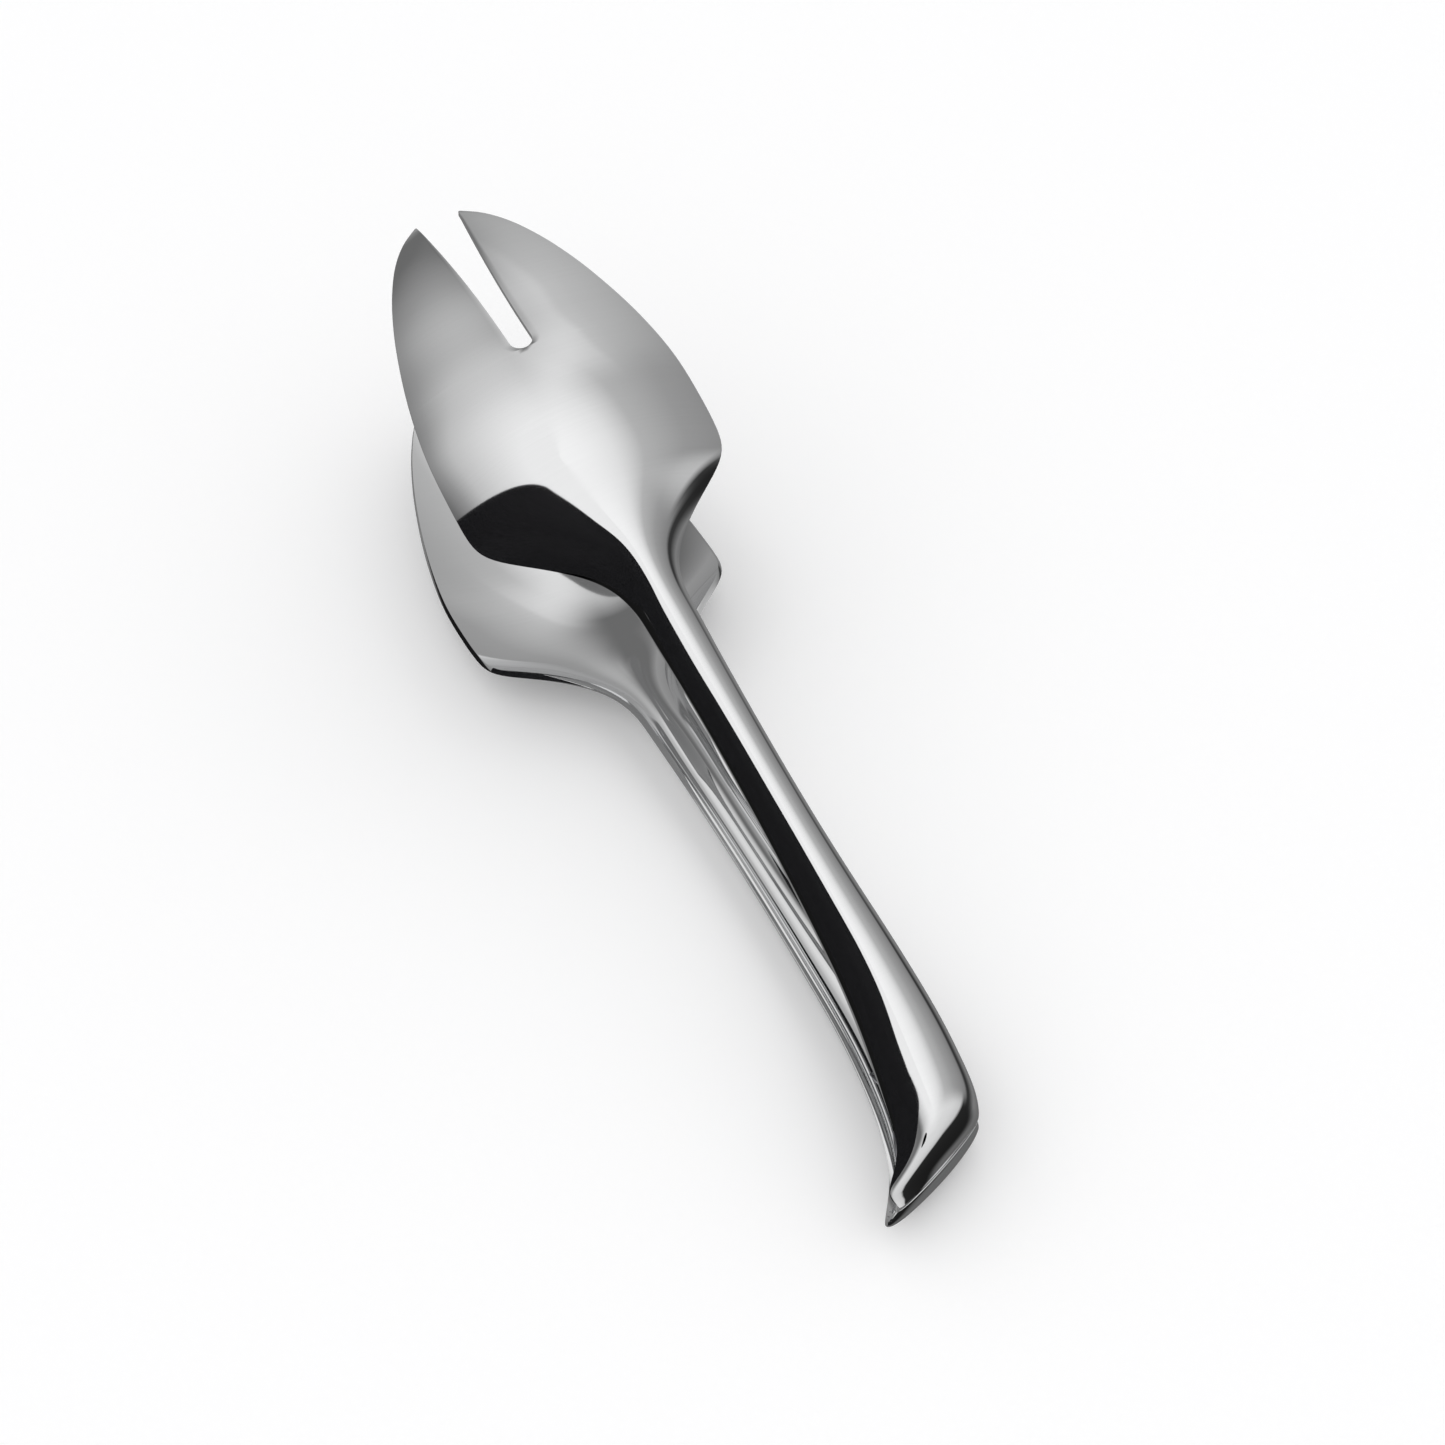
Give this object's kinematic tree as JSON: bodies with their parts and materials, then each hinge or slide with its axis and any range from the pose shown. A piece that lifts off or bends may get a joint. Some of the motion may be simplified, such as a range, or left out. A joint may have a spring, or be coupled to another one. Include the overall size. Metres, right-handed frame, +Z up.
{
  "type": "serving tongs",
  "caption": "Sprung serving tongs in polished steel: a cleft fork arm over a spoon arm, with arched handles hinged inside a swept heel.",
  "frame": {"origin": "centre of the bounding box's bottom face, on the surface the tongs lie on", "axes": "+Y from the heel to the bowls' tips, +Z up from the spoon arm to the fork arm, X across"},
  "size_m": [0.0592, 0.2414, 0.0744],
  "materials": {
    "polished_steel": "mirror-polished stainless steel",
    "plain_steel": "satin stainless steel",
    "spring_steel": "drawn spring wire"
  },
  "bodies": {
    "spoon_side": {"spoon_arm": "polished_steel", "spoon_hinge_bracket": "plain_steel", "hinge_pin": "plain_steel", "pin_washer_left": "plain_steel", "pin_washer_right": "plain_steel", "torsion_spring": "spring_steel"},
    "fork_side": {"fork_arm": "polished_steel", "fork_hinge_bracket": "plain_steel"}
  },
  "joints": [
    {"name": "heel_hinge", "type": "hinge", "parent": "spoon_side", "child": "fork_side", "pos_m": [-0.002, -0.10583, 0.01243], "axis": [-1, 0, 0], "range_deg": [0, 14], "stiffness_Nm_per_rad": 1.2, "springref_deg": -17.19, "deforming": ["torsion_spring"]}
  ]
}
